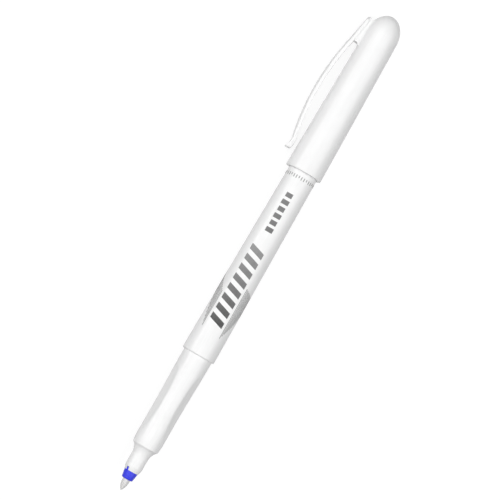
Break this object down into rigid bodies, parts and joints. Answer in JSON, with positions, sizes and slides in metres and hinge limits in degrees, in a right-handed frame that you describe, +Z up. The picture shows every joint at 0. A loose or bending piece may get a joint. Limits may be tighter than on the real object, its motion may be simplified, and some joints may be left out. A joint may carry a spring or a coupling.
{
  "type": "felt-tip ink eraser pen",
  "caption": "Felt-tip ink eraser pen with a bullet nib, a scalloped grip, a tapered barrel and a domed pull-off cap with a springy clip, posted on the rear end.",
  "frame": {"origin": "the nib's writing point, on the pen's axis", "axes": "+X along the pen's axis from the nib to the cap's dome, +Z up from the table that the pen lies on, +Y to the side on which the clip leans down"},
  "size_m": [0.1651, 0.016, 0.0121],
  "materials": {
    "nib_fibre": "matte",
    "blue_plastic": "satin",
    "white_plastic": "satin",
    "printed_white_plastic": "satin",
    "cap_plastic": "gloss",
    "soft_plastic": "matte",
    "reservoir_fibre": "matte",
    "clear_film": "gloss"
  },
  "bodies": {
    "pen": {"nib": "nib_fibre", "nib_holder": "blue_plastic", "grip_section": "white_plastic", "barrel": "printed_white_plastic", "ink_reservoir": "reservoir_fibre", "reservoir_wrap": "clear_film", "tail_plug": "white_plastic"},
    "cap": {"cap_shell": "cap_plastic", "cap_seal": "soft_plastic"},
    "clip_arm": {"clip": "cap_plastic"}
  },
  "joints": [
    {"name": "cap_pull", "type": "slide", "parent": "pen", "child": "cap", "axis": [1, 0, 0], "range_m": [0, 0.03]},
    {"name": "clip_flex", "type": "hinge", "parent": "cap", "child": "clip_arm", "pos_m": [0.1522, 0.00768, -0.00375], "axis": [0, -0.4384, -0.8988], "range_deg": [0, 4], "stiffness_Nm_per_rad": 0.088}
  ]
}
